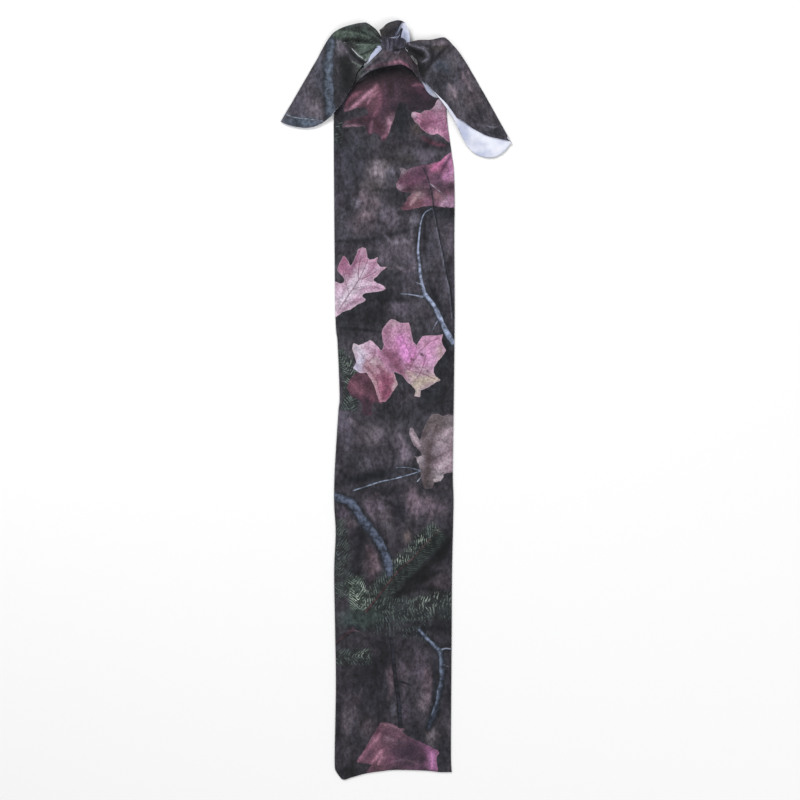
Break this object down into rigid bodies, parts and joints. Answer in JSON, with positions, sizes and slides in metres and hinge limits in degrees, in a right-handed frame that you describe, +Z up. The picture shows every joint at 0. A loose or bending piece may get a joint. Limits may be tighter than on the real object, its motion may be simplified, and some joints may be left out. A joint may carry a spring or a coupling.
{
  "type": "tail bag",
  "caption": "Long stretch-cloth horse tail bag, a flat sleeve closed at the bottom and gathered at a knotted neck with two folded tie straps.",
  "frame": {"origin": "on the surface the bag lies on, under the centre of its overall length and width", "axes": "+Y along the sleeve from the closed bottom to the knot, +X across the sleeve to the right as its front is seen, +Z up out of the front; the back of the sleeve lies on z = 0"},
  "size_m": [0.31, 1.0231, 0.027],
  "materials": {
    "outer_cloth": "dark bark and leaf camouflage print on matt stretch knit",
    "seam": "overlocked edge of the printed stretch knit",
    "gathered_cloth": "printed stretch knit pulled into tight gathers",
    "pine_print": "stretch knit printed with pine and twigs",
    "leaf_print": "stretch knit printed with pink leaves",
    "inner_cloth": "white unprinted inside of the stretch knit"
  },
  "bodies": {
    "sleeve_upper": {"sleeve_front_upper": "outer_cloth", "sleeve_back_upper": "outer_cloth", "side_seam_upper": "seam", "collar_left": "gathered_cloth", "collar_right": "gathered_cloth", "knot_core": "gathered_cloth", "knot_wrap_left": "gathered_cloth", "knot_wrap_right": "gathered_cloth", "mouth_loop": "inner_cloth", "left_tie_root": "pine_print", "right_tie_root": "outer_cloth"},
    "sleeve_lower": {"sleeve_front_lower": "outer_cloth", "sleeve_back_lower": "outer_cloth", "side_seam_lower": "seam", "bottom_seam": "seam"},
    "left_tie": {"left_tie_under_layer": "outer_cloth", "left_tie_top_layer": "pine_print"},
    "right_tie": {"right_tie_under_layer": "inner_cloth", "right_tie_top_layer": "leaf_print"}
  },
  "joints": [
    {"name": "sleeve_fold", "type": "hinge", "parent": "sleeve_upper", "child": "sleeve_lower", "pos_m": [0, -0.1, 0.0093], "axis": [-1, 0, 0], "range_deg": [0, 176]},
    {"name": "left_tie_lift", "type": "hinge", "parent": "sleeve_upper", "child": "left_tie", "pos_m": [-0.0216, 0.483, 0.0156], "axis": [0, 1, 0], "range_deg": [0, 90]},
    {"name": "right_tie_lift", "type": "hinge", "parent": "sleeve_upper", "child": "right_tie", "pos_m": [0.0216, 0.476, 0.0156], "axis": [0, -1, 0], "range_deg": [0, 90]}
  ]
}
